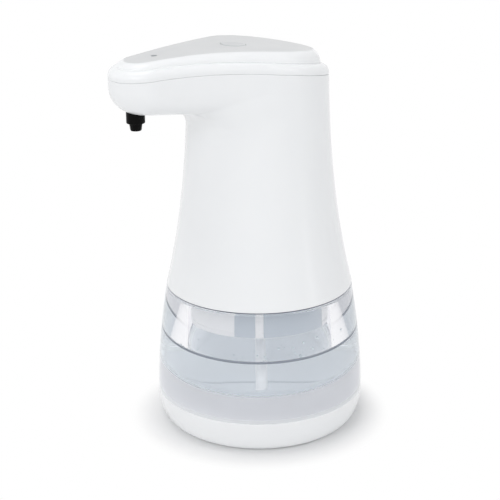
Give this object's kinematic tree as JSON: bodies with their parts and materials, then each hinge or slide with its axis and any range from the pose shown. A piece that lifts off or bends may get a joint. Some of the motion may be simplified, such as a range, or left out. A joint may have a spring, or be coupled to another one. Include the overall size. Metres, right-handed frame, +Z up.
{
  "type": "automatic soap dispenser",
  "caption": "Free-standing touch-free soap dispenser: white flared head with a drip spout, gear pump and batteries, twist-locked to a clear heavy-walled reservoir on a white base.",
  "frame": {"origin": "on the table under the middle of the round base, on the foot ring's bottom plane", "axes": "+Z up along the axis of the reservoir, -Y towards the spout, +X to the right of someone facing +Y"},
  "size_m": [0.1018, 0.13, 0.1898],
  "materials": {
    "white_gloss": "smooth white moulding",
    "panel_grey": "smooth pale grey moulding",
    "button_grey": "smooth grey cap",
    "clear_reservoir": "clear, polished",
    "black_nozzle": "satin black",
    "smoked_window": "dark infrared-clear window",
    "frosted_lens": "frosted light pipe",
    "grey_rubber": "soft matt",
    "clear_silicone": "translucent soft",
    "straw_plastic": "milky clear",
    "inner_white": "plain moulding",
    "acetal_natural": "natural moulding",
    "steel": "plated",
    "nickel": "nickel plated spring strip",
    "cell_sleeve": "plain sleeve",
    "circuit_board": "solder mask",
    "switch_black": "plain",
    "wire_jacket": "plain insulation"
  },
  "bodies": {
    "tank": {"reservoir": "clear_reservoir", "base_cup": "white_gloss", "foot_ring": "grey_rubber"},
    "seal": {"neck_seal": "clear_silicone"},
    "head": {"head_shell": "white_gloss", "top_cover": "white_gloss", "top_panel": "panel_grey", "nozzle": "black_nozzle", "sensor_window": "smoked_window", "indicator_lens": "frosted_lens", "battery_cover_seal": "clear_silicone", "pump_gasket": "clear_silicone", "inlet_tube": "clear_silicone", "outlet_tube": "clear_silicone", "dip_tube": "straw_plastic", "inner_chassis": "inner_white", "battery_room": "inner_white", "battery_cover": "inner_white", "riser": "inner_white", "motor_cradle": "inner_white", "pump_housing": "acetal_natural", "pump_cover": "acetal_natural", "nozzle_nut": "acetal_natural", "motor": "steel", "idler_pin": "steel", "chassis_screws": "steel", "cover_screws": "steel", "board_screws": "steel", "pump_screws": "steel", "battery_contacts": "nickel", "battery_cells": "cell_sleeve", "control_board": "circuit_board", "sensor_board": "circuit_board", "indicator_board": "circuit_board", "button_switch": "switch_black", "sensor_eyes": "switch_black", "motor_leads": "wire_jacket", "battery_leads": "wire_jacket", "sensor_leads": "wire_jacket"},
    "pump_drive": {"motor_shaft": "steel", "drive_gear": "acetal_natural"},
    "pump_idler": {"idler_gear": "acetal_natural"},
    "button": {"power_button": "button_grey", "switch_plunger": "switch_black"}
  },
  "joints": [
    {"name": "twist_lock", "type": "hinge", "parent": "tank", "child": "seal", "pos_m": [0, 0, 0.078], "axis": [0, 0, -1], "range_deg": [0, 30]},
    {"name": "lift_off", "type": "slide", "parent": "seal", "child": "head", "axis": [0, 0, 1], "range_m": [0, 0.06]},
    {"name": "power_button_press", "type": "slide", "parent": "head", "child": "button", "axis": [0, 0, -1], "range_m": [0, 0.0008], "stiffness_N_per_m": 1500},
    {"name": "pump_drive_spin", "type": "hinge", "parent": "head", "child": "pump_drive", "pos_m": [-0.0045, 0.01972, 0.08], "axis": [0, 0, 1], "continuous": true},
    {"name": "pump_idler_spin", "type": "hinge", "parent": "head", "child": "pump_idler", "pos_m": [0.0045, 0.01972, 0.08], "axis": [0, 0, 1], "continuous": true}
  ],
  "couplings": [
    {"joint": "pump_idler_spin", "follows": "pump_drive_spin", "ratio": -1}
  ]
}
